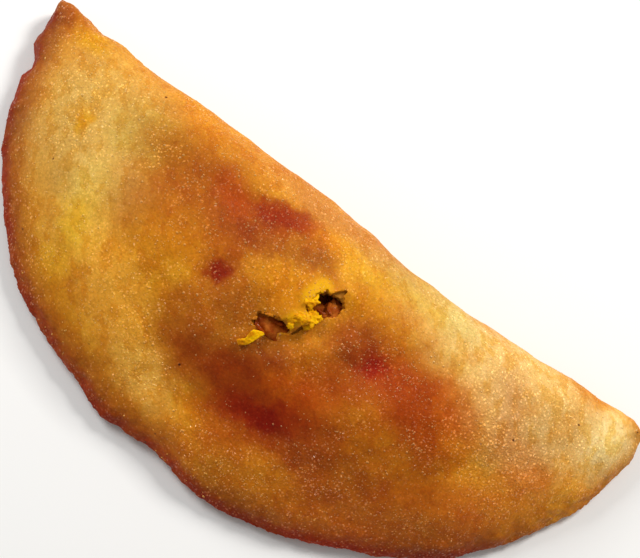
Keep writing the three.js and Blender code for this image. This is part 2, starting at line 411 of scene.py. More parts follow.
# %% Cut the pocket and the tear out of the skin
whole_skin = BVHTree.FromPolygons(
    [v.co for v in skin.data.vertices], [p.vertices for p in skin.data.polygons]
)
for cutter in [pocket] + plugs:
    apply(skin, "BOOLEAN", operation="DIFFERENCE", object=cutter, solver="MANIFOLD")
    bpy.data.objects.remove(cutter)
crust = skin
crust.name = crust.data.name = "fried_crust"
below_skin = np.array([whole_skin.find_nearest(Vector(p))[3] for p in points_of(crust)]) / MM
in_tear = int((below_skin > 0.5).sum())
print("crust:", triangles(crust), "triangles,", in_tear, "points inside or in the tear")

# %% [markdown]
# ## A lifted flap
# The dough stands up on the fold's side of the tear and sinks on the other side, as steam pushed it open.
# The same pressing as on the outline does both. It comes after the cut, so that the two lips move on their
# own.

# %% Lift one lip of the tear and press the other
press(crust, [(0.8, 3.6, 19.8), (2.4, 7.6, 20.6), (4.0, 12.0, 20.3)], 4.0, (0.3, -0.5, 0.5))
press(crust, [(8.0, 8.0, 20.0), (7.2, 5.6, 19.8)], 4.0, (0.2, 0.2, -0.8))
press(crust, [(3.2, 4.4, 20.2), (2.2, 2.4, 19.8)], 2.0, (0.3, -0.3, 0.5), 0.6)
press(crust, [(5.2, 2.6, 19.8), (4.0, 0.6, 19.4)], 2.5, (0, 0, -0.4), 0.6)
press(crust, [(2.2, -0.6, 18.9), (0.0, -1.8, 18.3)], 4.0, (0, 0, -0.7))

# %% [markdown]
# ## Notes for the colours
# The finish needs to know four things that no shape of noise can tell it: how near the browned edge is, how
# near the fold is, where the dough has torn open and how near the flap's bright lip is. They could be
# painted by hand as vertex colours. Worked out from the shape and stored as attributes of the points, they
# follow every change of it.

# %% Store the edge, the fold and the torn faces
def store(piece, name, values):
    """Keeps one number for each point in the mesh, for the finish to read."""
    attribute = piece.data.attributes.new(name, "FLOAT", "POINT")
    attribute.data.foreach_set("value", values.astype(np.float32))


crust.vertex_groups.clear()
points = points_of(crust)
inside = from_edge(points, outline_of(points, 2))
store(crust, "near_edge", np.clip(1 - inside / 8, 0, 1))
from_fold = np.clip(cad_box[1].y - 1 * MM - points[:, 1], 0, None)
store(crust, "near_fold", np.exp(-from_fold / (2.5 * MM)))
store(crust, "torn", smooth_step(0.12, 0.5, below_skin))
print("points within 2 mm of the cut edge:", int((inside < 2).sum()))

# %% Store how near the flap's lip is
FLAP = [(2.4, 10.4), (1.6, 7.6), (3.3, 6.8), (4.0, 5.6), (3.4, 4.2), (2.0, 3.2), (1.6, 1.4)]  # lip in plan
plan = points[:, :2] / MM
gap_to_flap = np.full(len(points), 99.0)
for start, end in zip(FLAP[:-1], FLAP[1:]):
    start, run = np.array(start), np.array(end) - np.array(start)
    share = np.clip(((plan - start) @ run) / (run @ run), 0, 1)
    gap_to_flap = np.minimum(gap_to_flap, np.linalg.norm(plan - start - share[:, None] * run, axis=1))
right_of_flap = smooth_step(-0.6, 0.6, (points[:, 0] - points[:, 1] * 0.55) / MM - 1.2)
on_top = smooth_step(14, 17, points[:, 2] / MM)
store(crust, "near_flap", np.exp(-gap_to_flap / 1.5) * (1 - 0.6 * right_of_flap) * on_top)
print("attributes:", [a.name for a in crust.data.attributes if not a.name.startswith(".")])

# %% [markdown]
# ## The filling
# Under the tear lies minced and shredded meat in its juices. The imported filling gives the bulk: it is
# rounded off and pushed inwards only, by lumpy noise, so that it stays clear of the dough. The meat that
# shows is made of short shreds on small mounds of mince. A noise alone would look like clay there, so one
# shred is modelled from a cylinder, and the rest are copies of it, turned and sized by chance.

# %% Lump the bulk of the filling
edit_faces(stuffing, lambda face: True)
bpy.ops.mesh.tris_convert_to_quads(face_threshold=0.7, shape_threshold=0.7)
bpy.ops.object.mode_set(mode="OBJECT")
apply(stuffing, "SUBSURF", levels=1, render_levels=1)
apply(stuffing, "REMESH", mode="VOXEL", voxel_size=0.8 * MM, adaptivity=0.0)
displace(stuffing, noise("mince", 3.2 * MM, 3), 1.6 * MM, middle=0.9)
print("bulk of the filling:", triangles(stuffing), "triangles")


# %% Model one shred of meat
def shred(length, thick):
    """A thin strand that tapers to both ends and bows a little."""
    bpy.ops.object.select_all(action="DESELECT")
    bpy.ops.mesh.primitive_cylinder_add(vertices=10, radius=thick * MM, depth=length * MM)
    piece = bpy.context.object
    bpy.ops.object.mode_set(mode="EDIT")
    bpy.ops.mesh.subdivide(number_cuts=4)
    bpy.ops.object.mode_set(mode="OBJECT")
    for vertex in piece.data.vertices:
        along = vertex.co.z / (length * MM / 2)
        vertex.co.x *= 1 - 0.55 * along**2
        vertex.co.y *= 0.7 * (1 - 0.55 * along**2)
        vertex.co.x += 0.16 * length * MM * along**2
    return piece


pattern = shred(4.4, 0.62)
apply(pattern, "SUBSURF", levels=1, render_levels=1)
displace(pattern, noise("fibres", 0.7 * MM, 2), 0.5 * MM)
print("one shred:", triangles(pattern), "triangles")


# %% Raise mounds of mince under the tear
def mound(middle, half):
    """A small heap of mince for the shreds to lie on."""
    bpy.ops.object.select_all(action="DESELECT")
    bpy.ops.mesh.primitive_ico_sphere_add(subdivisions=4, radius=MM)
    heap = bpy.context.object
    bpy.ops.object.mode_set(mode="EDIT")
    bpy.ops.transform.resize(value=half)
    bpy.ops.object.mode_set(mode="OBJECT")
    heap.data.transform(Matrix.Translation([v * MM for v in middle]))
    displace(heap, noise("mince of a heap", 1.3 * MM, 3), 1.1 * MM)
    return heap


MOUNDS = [  # middle and half sizes
    ((6.2, 8.1, 17.35), (2.0, 2.8, 2.1)),
    ((4.9, 7.2, 17.0), (2.4, 1.8, 1.9)),
    ((-0.6, 0.5, 16.8), (4.0, 2.4, 1.9)),
]
shreds = [mound(middle, half) for middle, half in MOUNDS]
print("mounds:", len(shreds))

# %% Strew copies of the shred over the mounds
HEAPS = [  # where shreds lie: from, to, height, spread and how many
    ((5.6, 6.6), (6.4, 9.6), 18.8, 0.5, 20),
    ((-2.2, -0.2), (1.6, 1.1), 17.8, 0.5, 12),
    ((-1.5, 0.5), (7.0, 12.5), 15.6, 1.6, 34),
]
for start, end, height, spread, count in HEAPS:
    for i in range(count):
        piece = bpy.data.objects.new("shred", pattern.data.copy())
        bpy.context.collection.objects.link(piece)
        share = chance.random()
        x = start[0] + (end[0] - start[0]) * share + chance.gauss(0, spread)
        y = start[1] + (end[1] - start[1]) * share + chance.gauss(0, spread)
        z = height + chance.uniform(-0.5, 0.4)
        turn = Euler([math.pi / 2 + chance.gauss(0, 0.3), chance.gauss(0, 0.3), chance.uniform(0, 6.28)])
        size = chance.uniform(0.45, 0.85)
        piece.data.transform(
            Matrix.Translation((x * MM, y * MM, z * MM)) @ turn.to_matrix().to_4x4() @ Matrix.Scale(size, 4)
        )
        shreds.append(piece)
bpy.data.objects.remove(pattern)
meat = join(shreds, "shredded_meat")
print("shreds:", triangles(meat), "triangles, top at", round(points_of(meat)[:, 2].max() / MM, 1), "mm")

# %% [markdown]
# ## Torn dough
# Where the crust broke, fresh yellow dough shows: a crumbly lip along the flap, a thin hem along the lower
# hole, and one flake that hangs from it. Pushing the crust's own points about would need a far finer grid,
# so the crumbs are meshes of their own that sit on it. The lip is a row of broken lumps, each a cube with
# its corners pushed about. They overlap, a voxel remesh runs them together, and noise of two sizes breaks
# them up.

# %% Model one broken lump of dough
def lump(size):
    """A cube knocked out of shape, turned by chance and flattened."""
    bpy.ops.object.select_all(action="DESELECT")
    bpy.ops.mesh.primitive_cube_add(size=size * MM)
    piece = bpy.context.object
    bpy.ops.object.mode_set(mode="EDIT")
    bpy.ops.mesh.subdivide(number_cuts=2)
    bpy.ops.object.mode_set(mode="OBJECT")
    for vertex in piece.data.vertices:
        vertex.co += Vector([chance.gauss(0, 0.2 * size * MM) for _ in range(3)])
    turn = Euler([chance.uniform(0, 6.28) for _ in range(3)]).to_matrix().to_4x4()
    piece.data.transform(Matrix.Diagonal((1, 1, 0.6, 1)) @ turn)
    return piece


# %% Lay lumps in rows on the crust
crust_tree = BVHTree.FromPolygons(
    [v.co for v in crust.data.vertices], [p.vertices for p in crust.data.polygons]
)


def crumbled(name, runs):
    """Overlapping lumps of dough, each let down on the crust beside a path.

    A run has its path, the smallest and largest lump, and how far they scatter.
    """
    lumps = []
    for path, sizes, scatter in runs:
        for start, end in zip(path[:-1], path[1:]):
            start, end = Vector(start), Vector(end)
            count = max(1, round((end - start).length / (0.5 * sizes[0] + 0.1)))
            for i in range(count):
                spot = start.lerp(end, i / count) + Vector([chance.gauss(0, scatter) for _ in range(3)])
                piece = lump(chance.uniform(*sizes))
                piece.data.transform(Matrix.Translation(crust_tree.find_nearest(spot * MM)[0]))
                lumps.append(piece)
    lip = join(lumps, name)
    apply(lip, "REMESH", mode="VOXEL", voxel_size=0.13 * MM, adaptivity=0.0)
    displace(lip, noise(name + " lumps", 1.0 * MM, 2), 0.7 * MM)
    displace(lip, noise(name + " grain", 0.45 * MM, 2), 0.1 * MM)
    return lip


upper_path = [(2.2, 9.2, 20.9), (2.0, 7.6, 21.2), (3.4, 7.2, 21.0)]
bridge_path = [(3.7, 7.0, 21.0), (4.2, 6.0, 20.8), (3.8, 4.8, 20.6), (2.8, 3.9, 20.4), (1.8, 3.0, 20.1)]
tip_path = [(1.8, 3.0, 20.1), (1.6, 1.4, 19.6)]
lip_runs = [(upper_path, (0.3, 0.6), 0.1), (bridge_path, (1.0, 1.7), 0.25), (tip_path, (0.6, 1.0), 0.1)]
lip = crumbled("torn_lip", lip_runs)
hem_path = [(-4.0, -0.5, 18.9), (-2.6, 0.1, 19.2), (-1.8, 1.2, 19.6), (0.2, 2.3, 19.9)]
hem = crumbled("torn_hem", [(hem_path, (0.25, 0.55), 0.16)])
print("lip and hem:", triangles(lip) + triangles(hem), "triangles")

# %% [markdown]
# ## The flake
# A thin flake of dough, torn loose but for one end, lies across the lower hole. It could be cut from the
# crust, but it curls out of it. So it is a grid, narrowed to a point at both ends, waved and arched by
# formulas, given a thickness, and turned to its place last, when its shape is done.

# %% Draw out the flake
bpy.ops.object.select_all(action="DESELECT")
bpy.ops.mesh.primitive_grid_add(x_subdivisions=30, y_subdivisions=12, size=1 * MM)
flake = bpy.context.object
flake.name = flake.data.name = "torn_flake"
bpy.ops.object.mode_set(mode="EDIT")
bpy.ops.transform.resize(value=(4.6, 1.6, 1))
bpy.ops.object.mode_set(mode="OBJECT")
for vertex in flake.data.vertices:
    along = vertex.co.x / (2.4 * MM)
    vertex.co.y *= 0.9 - 0.5 * along**2 + 0.12 * math.sin(5 * along)
    vertex.co.y += 0.25 * MM * math.sin(4 * along)
    vertex.co.z += 0.35 * MM * (1 - along**2) + 0.12 * vertex.co.y
apply(flake, "SOLIDIFY", thickness=0.45 * MM, offset=0.0)
apply(flake, "REMESH", mode="VOXEL", voxel_size=0.11 * MM, adaptivity=0.0)
displace(flake, noise("flake folds", 1.6 * MM, 2), 0.3 * MM)
displace(flake, noise("flake grain", 0.4 * MM, 2), 0.16 * MM)
flake.data.transform(
    Matrix.Translation((-2.3 * MM, -3.2 * MM, 18.1 * MM))
    @ Euler((math.radians(8), math.radians(-16), math.radians(57))).to_matrix().to_4x4()
)
print("flake:", triangles(flake), "triangles")

# %% [markdown]
# ## Grains of meal
# Coarse grains of maize stand out of the fried skin and catch the light. By hand, a hair system with the
# grain as its object would strew them, made real afterwards. Here one grain is modelled from a ball, and
# its points are copied to thousands of places on the crust, each turned and sized by chance, and sunk a
# little. They gather in drifts, so a soft noise decides where they may lie.

# %% Model one grain
bpy.ops.object.select_all(action="DESELECT")
bpy.ops.mesh.primitive_ico_sphere_add(subdivisions=1, radius=MM)
grain = bpy.context.object
bpy.ops.object.mode_set(mode="EDIT")
bpy.ops.transform.resize(value=(1.0, 0.8, 0.55))
bpy.ops.object.mode_set(mode="OBJECT")
grain_points = points_of(grain) / MM
grain_faces = np.array([face.vertices[:] for face in grain.data.polygons])
bpy.data.objects.remove(grain)
print("one grain:", len(grain_faces), "triangles")

# %% Weigh every triangle of the crust by how many grains it may get
crust.data.calc_loop_triangles()
which = np.empty(len(crust.data.loop_triangles) * 3, int)
crust.data.loop_triangles.foreach_get("vertices", which)
which = which.reshape(-1, 3)
corners = points_of(crust)[which]
across = np.cross(corners[:, 1] - corners[:, 0], corners[:, 2] - corners[:, 0])
area = np.linalg.norm(across, axis=1)
facing = across / np.maximum(area, 1e-12)[:, None]
middles = corners.mean(axis=1)
drift = np.array([fractal(Vector(m * 1000 / 9), 1.0, 2.0, 3) for m in middles])  # drifts about 9 mm across
wanted = area * (facing[:, 2] > -0.2) * (middles[:, 2] > 1 * MM) * (0.25 + smooth_step(-0.25, 0.45, drift))
on_skin = below_skin[which].max(axis=1) < 0.15
wanted = wanted * on_skin * (0.12 + smooth_step(1.5, 5, inside[which[:, 0]]))  # few lie on the cut edge
hollow = ((middles[:, 0] / MM - 4) / 14) ** 2 + ((middles[:, 1] / MM + 10) / 7) ** 2
wanted = wanted * (1 - 0.85 * np.exp(-hollow))  # and few in the smooth, dark hollow below the tear
print("triangles that may hold a grain:", int((wanted > 0).sum()))

# %% Copy the grain to its places
GRAINS = 5600
dice = np.random.default_rng(11)
chosen = dice.choice(len(wanted), GRAINS, p=wanted / wanted.sum())
sizes = np.clip(dice.lognormal(-2.05, 0.38, GRAINS), 0.06, 0.32)
spots = middles[chosen] / MM - facing[chosen] * sizes[:, None] * 0.2
spin = dice.normal(size=(GRAINS, 3))
first = np.cross(facing[chosen], spin)
first /= np.linalg.norm(first, axis=1)[:, None]
second = np.cross(facing[chosen], first)
axes = np.stack([first, second, facing[chosen]], 2)  # each grain lies flat on the skin
cloud_points = np.einsum("nij,kj->nki", axes, grain_points) * sizes[:, None, None] + spots[:, None, :]
cloud_faces = grain_faces[None] + (np.arange(GRAINS) * len(grain_points))[:, None, None]
mesh = bpy.data.meshes.new("meal_grains")
mesh.from_pydata((cloud_points.reshape(-1, 3) * MM).tolist(), [], cloud_faces.reshape(-1, 3).tolist())
grains = bpy.data.objects.new("meal_grains", mesh)
bpy.context.collection.objects.link(grains)
print("grains:", GRAINS, "with", triangles(grains), "triangles")

# %% [markdown]
# ## A kit for finishes
# Each finish starts from the Principled shader. Numbers that hold all over are typed into its own sockets,
# and only what changes over the surface is wired. The nodes could be laid out by hand in the editor, but a
# finish with dozens of stains is clearer as a list and a loop, and these helpers keep the loops short.

# %% Helpers that make nodes
def colour(code):
    """A paint code such as c98a2b as the linear colour that the shader wants."""
    parts = [int(code[i : i + 2], 16) / 255 for i in (0, 2, 4)]
    return tuple(p / 12.92 if p <= 0.04045 else ((p + 0.055) / 1.055) ** 2.4 for p in parts) + (1.0,)


def finish(name, **numbers):
    """A new material, its node tree and its shader, with numbers typed into the shader's sockets."""
    material = bpy.data.materials.new(name)
    material.use_nodes = True
    shader = material.node_tree.nodes["Principled BSDF"]
    for socket, number in numbers.items():
        shader.inputs[socket.replace("_", " ")].default_value = number
    return material, material.node_tree, shader


def add(tree, kind, inputs=None, **settings):
    """A new node, with each input wired to a socket or set to a value."""
    node = tree.nodes.new("ShaderNode" + kind)
    for key, value in settings.items():
        setattr(node, key, value)
    for key, value in (inputs or {}).items():
        if isinstance(value, bpy.types.NodeSocket):
            tree.links.new(value, node.inputs[key])
        else:
            node.inputs[key].default_value = value
    return node


def mix(tree, weight, under, over, blend="MIX"):
    node = add(tree, "Mix", {0: weight, 6: under, 7: over}, data_type="RGBA", blend_type=blend)
    return node.outputs[2]


def glazed(tree, under, passes):
    """A colour seen through a glaze that passes so much of its red, green and blue."""
    return mix(tree, 1.0, under, (*passes, 1), "MULTIPLY")


def times(tree, a, b):
    return add(tree, "Math", {0: a, 1: b}, operation="MULTIPLY").outputs[0]


def plus(tree, a, b):
    return add(tree, "Math", {0: a, 1: b}, operation="ADD").outputs[0]


def rest(tree, weight):
    """What a weight leaves over of 1."""
    return add(tree, "Math", {0: 1.0, 1: weight}, operation="SUBTRACT").outputs[0]


def fade(tree, value, low, high, to_low=0.0, to_high=1.0):
    """A soft step from one number to another, as a value goes from low to high."""
    return add(
        tree,
        "MapRange",
        {"Value": value, "From Min": low, "From Max": high, "To Min": to_low, "To Max": to_high},
        interpolation_type="SMOOTHSTEP",
    ).outputs[0]


def attribute(tree, name):
    return add(tree, "Attribute", attribute_name=name).outputs["Fac"]


# %% [markdown]
# Stains, flecks and grain all come from three patterns. A cloud is plain noise of a known size. A patch is
# an oval stain in a place of its own: a Mapping node moves and stretches a soft ball of weight to where it
# lies on the dough. And wandering coordinates, pushed about by noise, keep the ovals from looking like
# ovals. Painting on an image would do as well, but it would need the crust unwrapped, and would blur close
# by.

# %% Helpers that make patterns
def cloud(tree, place, size, detail=2.0, rough=0.5):
    """Noise whose lumps are about `size` millimetres across."""
    inputs = {"Vector": place, "Scale": 1000 / size, "Detail": detail, "Roughness": rough}
    return add(tree, "TexNoise", inputs)


STAIN_HEIGHT = 16  # stains are centred a little below the top of the crust


def patch(tree, place, middle, half, turn=0.0, strength=1.0, tall=15):
    """Weight of an oval stain: `strength` in its middle, 0 at its border, and `tall` up and down."""
    moved = add(
        tree,
        "Mapping",
        {
            "Vector": place,
            "Location": [v * MM for v in (*middle, STAIN_HEIGHT)],
            "Rotation": (0, 0, math.radians(turn)),
            "Scale": [v * MM for v in (*half, tall)],
        },
        vector_type="TEXTURE",
    )
    ball = add(tree, "TexGradient", {"Vector": moved.outputs[0]}, gradient_type="SPHERICAL")
    return fade(tree, ball.outputs["Fac"], 0.0, 0.75, 0.0, strength)


def wander(tree, place, size, by):
    """Coordinates pushed about by noise, so that the borders of stains run unevenly."""
    swirl = cloud(tree, place, size, 3.0).outputs["Color"]
    centred = add(tree, "VectorMath", {0: swirl, 1: (0.5, 0.5, 0.5)}, operation="SUBTRACT")
    scaled = add(tree, "VectorMath", {0: centred.outputs[0], "Scale": by * MM}, operation="SCALE")
    return add(tree, "VectorMath", {0: place, 1: scaled.outputs[0]}, operation="ADD").outputs[0]


# %% [markdown]
# ## The fried crust
# Maize dough fries to a golden skin that is never one colour. It is pale and yellow where it is thin, orange
# where the filling's juices soaked through, red in spots of annatto, and brown along the cut edge and in the
# hollows, where the brown is partly painted shade. Some stains are painted light as well: a painted sheen on
# the pale ends and painted highlights on two lit ridges. One noise between two colours would be even all
# over, so the finish paints large stains and small spots one over the other, as a painter lays washes, and
# the places where they lie make this one's look.

# %% Start the crust's finish with a plain dough
material, tree, shader = finish(
    "fried_maize_crust",
    Roughness=0.5,
    Specular_IOR_Level=0.1,
    Coat_Roughness=0.14,
    Subsurface_Weight=0.08,
    Subsurface_Scale=1.2 * MM,
)
place = add(tree, "TexCoord").outputs["Object"]
loose = wander(tree, place, 7, 7)
tight = wander(tree, place, 2.4, 3.5)
dough_tone = fade(tree, cloud(tree, place, 9, 4).outputs["Fac"], 0.35, 0.65)
base = mix(tree, dough_tone, colour("c4760c"), colour("d28a18"))
print("crust's finish started, with", len(tree.nodes), "nodes")

# %% Paint the stains and the spots
# Besides real stains, this list paints light and shade: a painted sheen on the pale ends, painted highlights
# on two lit ridges, and painted shade in the hollow below the tear.
STAINS_AND_PAINTED_LIGHT = [  # paint code, middle, half sizes, turn and strength of each stain
    ("ca9e4a", (-49, 9), (24, 30), 0, 0.88),  # pale, thin left end, its paleness partly a painted sheen
    ("eba432", (-26, -11), (20, 9), -40, 0.8),  # painted highlight on the lit ridge of the left shoulder
    ("ffc250", (-12, -19.5), (13, 7), -25, 0.95),  # painted highlight where the ridge by the round edge catches the light
    ("cc9e58", (41, 18), (37, 18), -14, 0.95),  # pale right end, its paleness partly a painted sheen
    ("ffe69a", (61, 21), (11, 13), 0, 0.95),  # palest at the rounded tip
    ("ee8c20", (50, 2), (20, 8), 35, 0.8),  # orange shoulder of the right end
    ("b84e08", (14, -20), (52, 13), 6, 0.9),  # browner towards the round edge
    ("e08c18", (12, -19.5), (11, 5), 8, 0.8),  # with a lighter place in it
    ("9c4e04", (-24, 13), (25, 12), -12, 0.95),  # orange across the shoulder
    ("b87434", (3, 22.5), (32, 6), 0, 0.75),  # and along the fold
    ("dcae60", (38, 24), (26, 8), -4, 0.85),  # paler towards the right
    ("9c5804", (-3, 12), (10, 5), 15, 0.8),  # ochre behind the dome
    ("9c3c04", (16, -4), (26, 15), 15, 0.85),  # brown below and right of the tear
    ("9e4c08", (-13, -6), (10, 11), 0, 0.8),  # and left of it
    ("9c3400", (1, -9), (14, 7), 10, 0.85),  # browner in the hollow below the tear, partly painted shade
    ("9c3400", (28, 5), (11, 18), 60, 0.85),  # reddish hollow right of the tear
    ("9c3c04", (34, -19), (15, 4.5), 20, 0.8),  # browned bottom of the round edge
    ("b45c04", (-63, 26), (6, 7), 0, 0.85),  # browned pointed tip
    ("9e4c0e", (-61, 1), (6, 15), 22, 0.75),  # and left end of the round edge
]
SPOTS = [  # the same for small stains, which keep closer to their place
    ("8c1c00", (5, -12.5), (15, 5), 17, 0.95),  # dark red streak
    ("7c1000", (7.5, -12), (5, 2.6), 17, 0.8),  # and its darkest part
    ("982800", (-10, 16.8), (12, 3.6), 14, 0.85),  # red streak beside the fold
    ("a43800", (-19, 14.5), (8, 4.0), -35, 0.6),  # and its tail
    ("9a2600", (-13, 2.6), (3.2, 3.0), 0, 0.95),  # red spot left of the tear
    ("a02600", (17.1, 5.2), (4.0, 3.2), 40, 0.95),  # and right of it
    ("a04a08", (-13, 8), (3, 6), 10, 0.4),  # orange between spot and streak
    ("c67800", (-2, 6.5), (9.5, 6.0), 30, 0.95),  # yellow dome beside the tear
    ("c47400", (8.8, 12.0), (3.6, 2.8), 60, 0.7),  # yellow behind it
    ("b06000", (6.8, -1.5), (3.6, 4.4), 0, 0.5),  # and before it
    ("d49600", (-56, 25), (6, 4), -10, 0.95),  # yellow at the pointed tip
    ("c88a00", (-47.6, 11), (2.6, 4.4), 15, 0.9),  # yellow drops in the pale left end
    ("c48000", (-55, 3), (2.2, 6), 25, 0.7),
    ("c88a08", (-38, -4), (4, 7), 20, 0.5),
    ("c0761c", (30, 17), (1.6, 6), -20, 0.3),  # thin orange streaks in the right end
    ("c88420", (50, 18), (2.0, 7), -15, 0.45),
    ("c88420", (43, 15), (1.6, 6), -25, 0.35),
]
for stains, where in ((STAINS_AND_PAINTED_LIGHT, loose), (SPOTS, tight)):
    for code, middle, half, turn, strength in stains:
        base = mix(tree, patch(tree, where, middle, half, turn, strength), base, colour(code))
print("stains and spots:", len(STAINS_AND_PAINTED_LIGHT), "and", len(SPOTS))

# %% [markdown]
# ## Browned edge, dots, and flecks with painted glints
# The cut edge is thin, so it browns first, and it stays paler only at the rounded end. Here the stored
# distance to the edge does what no stain could: the brown follows the outline. Noise frays its border.
# Burnt crumbs leave a few dark dots, and countless pale flecks, thick in some places and missing in others,
# are partly the meal and partly painted glints of light. Both are cells of a Voronoi pattern, of which only
# the middles are kept. Two of the places where they lie thickest are painted sheen by the round edge.

# %% Brown the edge and the fold
ragged = add(
    tree, "Math", {0: cloud(tree, place, 1.6, 3).outputs["Fac"], 1: 0.2, 2: -0.1}, operation="MULTIPLY_ADD"
)
edge = plus(tree, attribute(tree, "near_edge"), ragged.outputs[0])
patchy = cloud(tree, place, 5, 3).outputs["Fac"]
browned = rest(tree, patch(tree, place, (64, 14), (36, 34), 0, 0.9, 60))  # little at the rounded end
base = mix(tree, times(tree, fade(tree, edge, 0.2, 0.85, 0, 0.85), browned), base, colour("964610"))
darkened = times(tree, browned, fade(tree, patchy, 0.3, 0.6, 0.6, 0.95))
base = mix(tree, times(tree, fade(tree, edge, 0.72, 0.94), darkened), base, colour("8a2402"))
on_fold = fade(tree, attribute(tree, "near_fold"), 0.7, 1.0, 0, 0.35)
base = mix(tree, times(tree, on_fold, fade(tree, patchy, 0.4, 0.65)), base, colour("b06420"))
print("edge and fold browned:", len(tree.nodes), "nodes")

# %% Scatter dark dots, and find where the pale flecks lie
dots = add(tree, "TexVoronoi", {"Vector": place, "Scale": 210, "Randomness": 1.0})
dot = fade(tree, dots.outputs["Distance"], 0.03, 0.07, 1, 0)
few = fade(tree, cloud(tree, place, 3).outputs["Fac"], 0.48, 0.55)
base = mix(tree, times(tree, dot, few), base, colour("5a2a08"))
# The pale flecks are partly grains of meal and partly painted glints, the colour of a highlight.
flecks = add(tree, "TexVoronoi", {"Vector": wander(tree, place, 0.9, 0.8), "Scale": 2000})
chance_of_each = add(tree, "SeparateColor", {"Color": flecks.outputs["Color"]}).outputs["Red"]
middle_of_each = fade(tree, flecks.outputs["Distance"], 0.18, 0.5, 1, 0)
fleck = times(tree, middle_of_each, fade(tree, chance_of_each, 0.35, 0.9))
grit_and_sheen = fade(tree, cloud(tree, loose, 10, 3).outputs["Fac"], 0.36, 0.6, 0.3, 1.0)
calm = patch(tree, place, (4, -10), (22, 11), 10, 0.8)  # below the tear
grit_and_sheen = times(tree, grit_and_sheen, rest(tree, calm))
FLECK_AND_SHEEN_DRIFTS = [  # where flecks lie thickest: middle, half sizes, turn and strength
    ((46, 12), (26, 18), -20, 1.0),
    ((-50, 14), (16, 14), 0, 0.5),
    ((-33, 14), (10, 5), 40, 0.6),
    # Painted sheen: two glistening spots by the round edge, made of thick, bright flecks.
    ((-15.5, -19.6), (5, 4), 0, 1.2),
    ((-0.9, -21.3), (5, 4), 0, 1.2),
    ((9, -3), (6, 5), 40, 0.5),
    ((24, -14), (14, 6), 20, 0.4),
]
for middle, half, turn, strength in FLECK_AND_SHEEN_DRIFTS:
    grit_and_sheen = plus(tree, grit_and_sheen, patch(tree, loose, middle, half, turn, strength))
fleck = times(tree, fleck, grit_and_sheen)
print("drifts of flecks:", len(FLECK_AND_SHEEN_DRIFTS))

# %% [markdown]
# ## Glazes over the stains, with painted light and shade
# These glazes darken, redden or lighten the dough in places without hiding what is below; the red is oil and
# juices soaked in. A stain would cover its ground, so these are glazes: each multiplies the colour below it
# by how much red, green and blue it lets through. Numbers under 1 darken, and numbers over 1 lighten. Several
# are painted light and shade: painted shade in the creases and the hollow round the tear, and painted sheen
# and highlights on the left shoulder, by the round edge, by the fold and just inside the browned edge. They
# reach far up and down, so that they hold on the low edge too.

